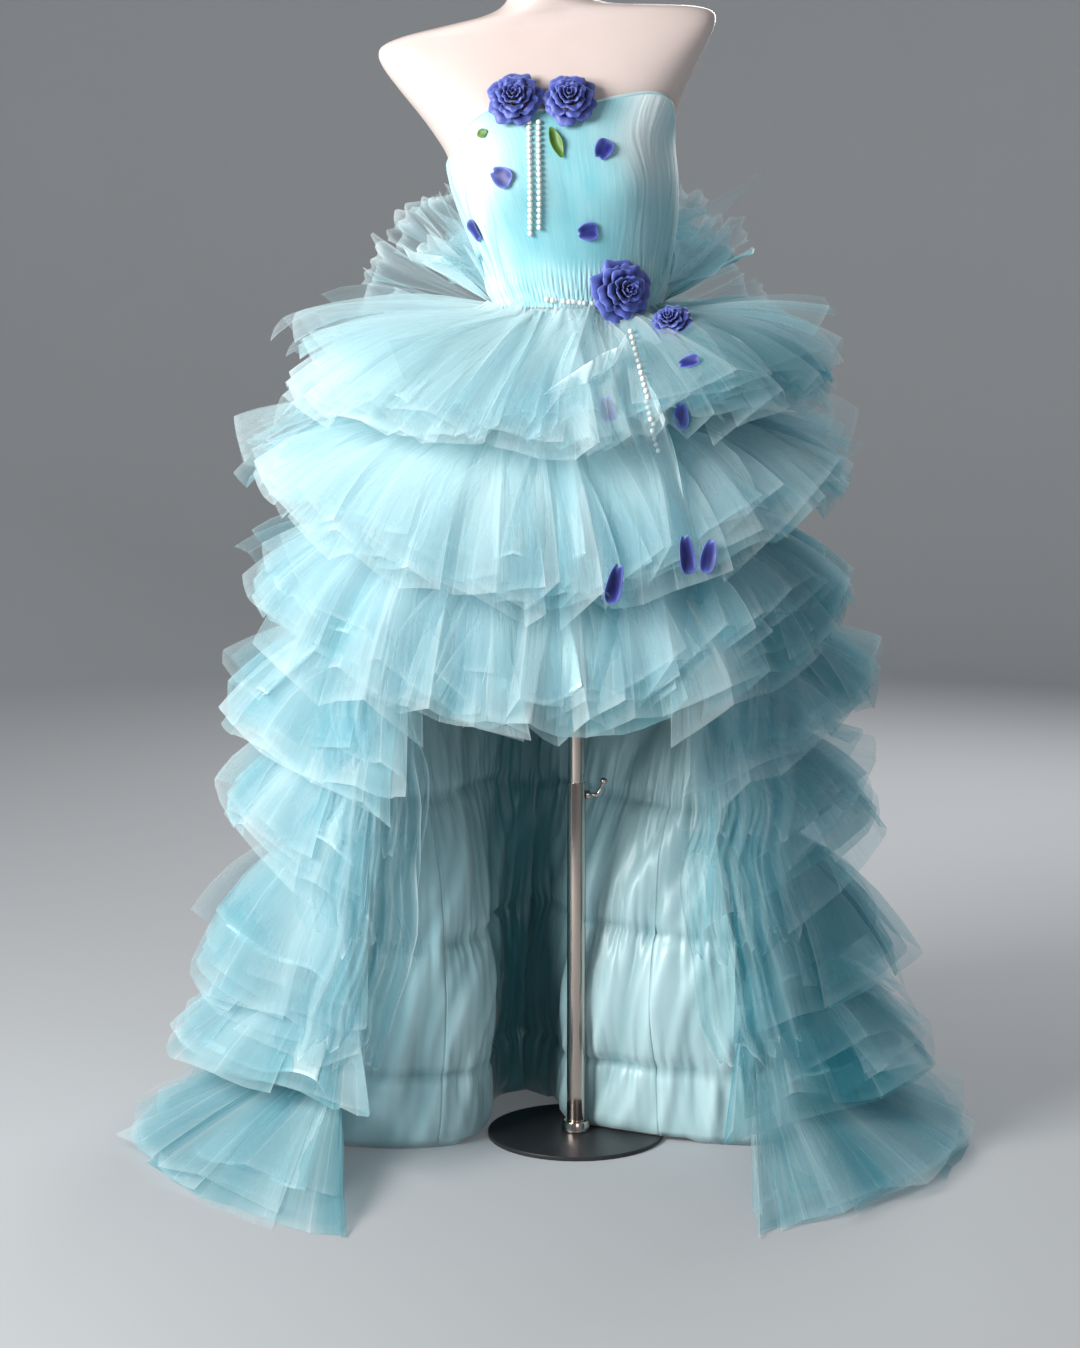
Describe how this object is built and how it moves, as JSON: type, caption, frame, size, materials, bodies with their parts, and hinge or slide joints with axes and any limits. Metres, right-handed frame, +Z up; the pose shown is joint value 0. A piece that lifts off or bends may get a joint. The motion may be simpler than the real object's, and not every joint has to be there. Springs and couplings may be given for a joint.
{
  "type": "homecoming dress and limbless dress form",
  "caption": "Strapless high-low dress with gathered net tiers, a satin lining and cloth roses, standing on a limbless dress form with a pole, clamp screw and round base.",
  "frame": {"origin": "centre of the stand base's underside, on the floor and on the pole's axis", "axes": "+Z up along the pole, -Y towards the dress's front, +X towards the wearer's left"},
  "size_m": [1.1364, 0.9873, 1.5499],
  "materials": {
    "form": "satin paint on a moulded shell",
    "chrome": "polished",
    "base": "satin black",
    "satin": "satin weave",
    "tulle": "sheer net",
    "rose": "matt petals",
    "leaf": "matt"
  },
  "bodies": {
    "stand_and_dress": {"form_torso": "form", "stand_base": "base", "stand_boss": "chrome", "pole_lower": "chrome", "pole_upper": "chrome", "form_socket": "chrome", "clamp_boss": "chrome", "bodice_front": "satin", "bodice_back_right": "satin", "bodice_back_left": "satin", "lining_front": "satin", "lining_side_right": "satin", "lining_back_right": "satin", "lining_back_left": "satin", "lining_side_left": "satin", "tier_1": "tulle", "tier_2": "tulle", "tier_3": "tulle", "tier_4": "tulle", "tier_5": "tulle", "tier_6": "tulle", "tier_7": "tulle", "tier_8": "tulle", "back_ruffle": "tulle", "neckline_rose_left": "rose", "neckline_rose_right": "rose", "waist_rose_large": "rose", "waist_rose_small": "rose", "petal_bodice_1": "rose", "petal_bodice_2": "rose", "petal_bodice_3": "rose", "petal_bodice_4": "rose", "petal_tier_1_a": "rose", "petal_tier_1_b": "rose", "petal_tier_1_c": "rose", "petal_tier_2_a": "rose", "petal_tier_2_b": "rose", "petal_tier_2_c": "rose", "leaf_neckline_1": "leaf", "leaf_neckline_2": "leaf"},
    "clamp_screw": {"clamp_lever": "chrome"}
  },
  "joints": [
    {"name": "clamp_screw_turn", "type": "hinge", "parent": "stand_and_dress", "child": "clamp_screw", "pos_m": [0.02, 0, 0.47], "axis": [1, 0, 0], "range_deg": [0, 180]}
  ]
}
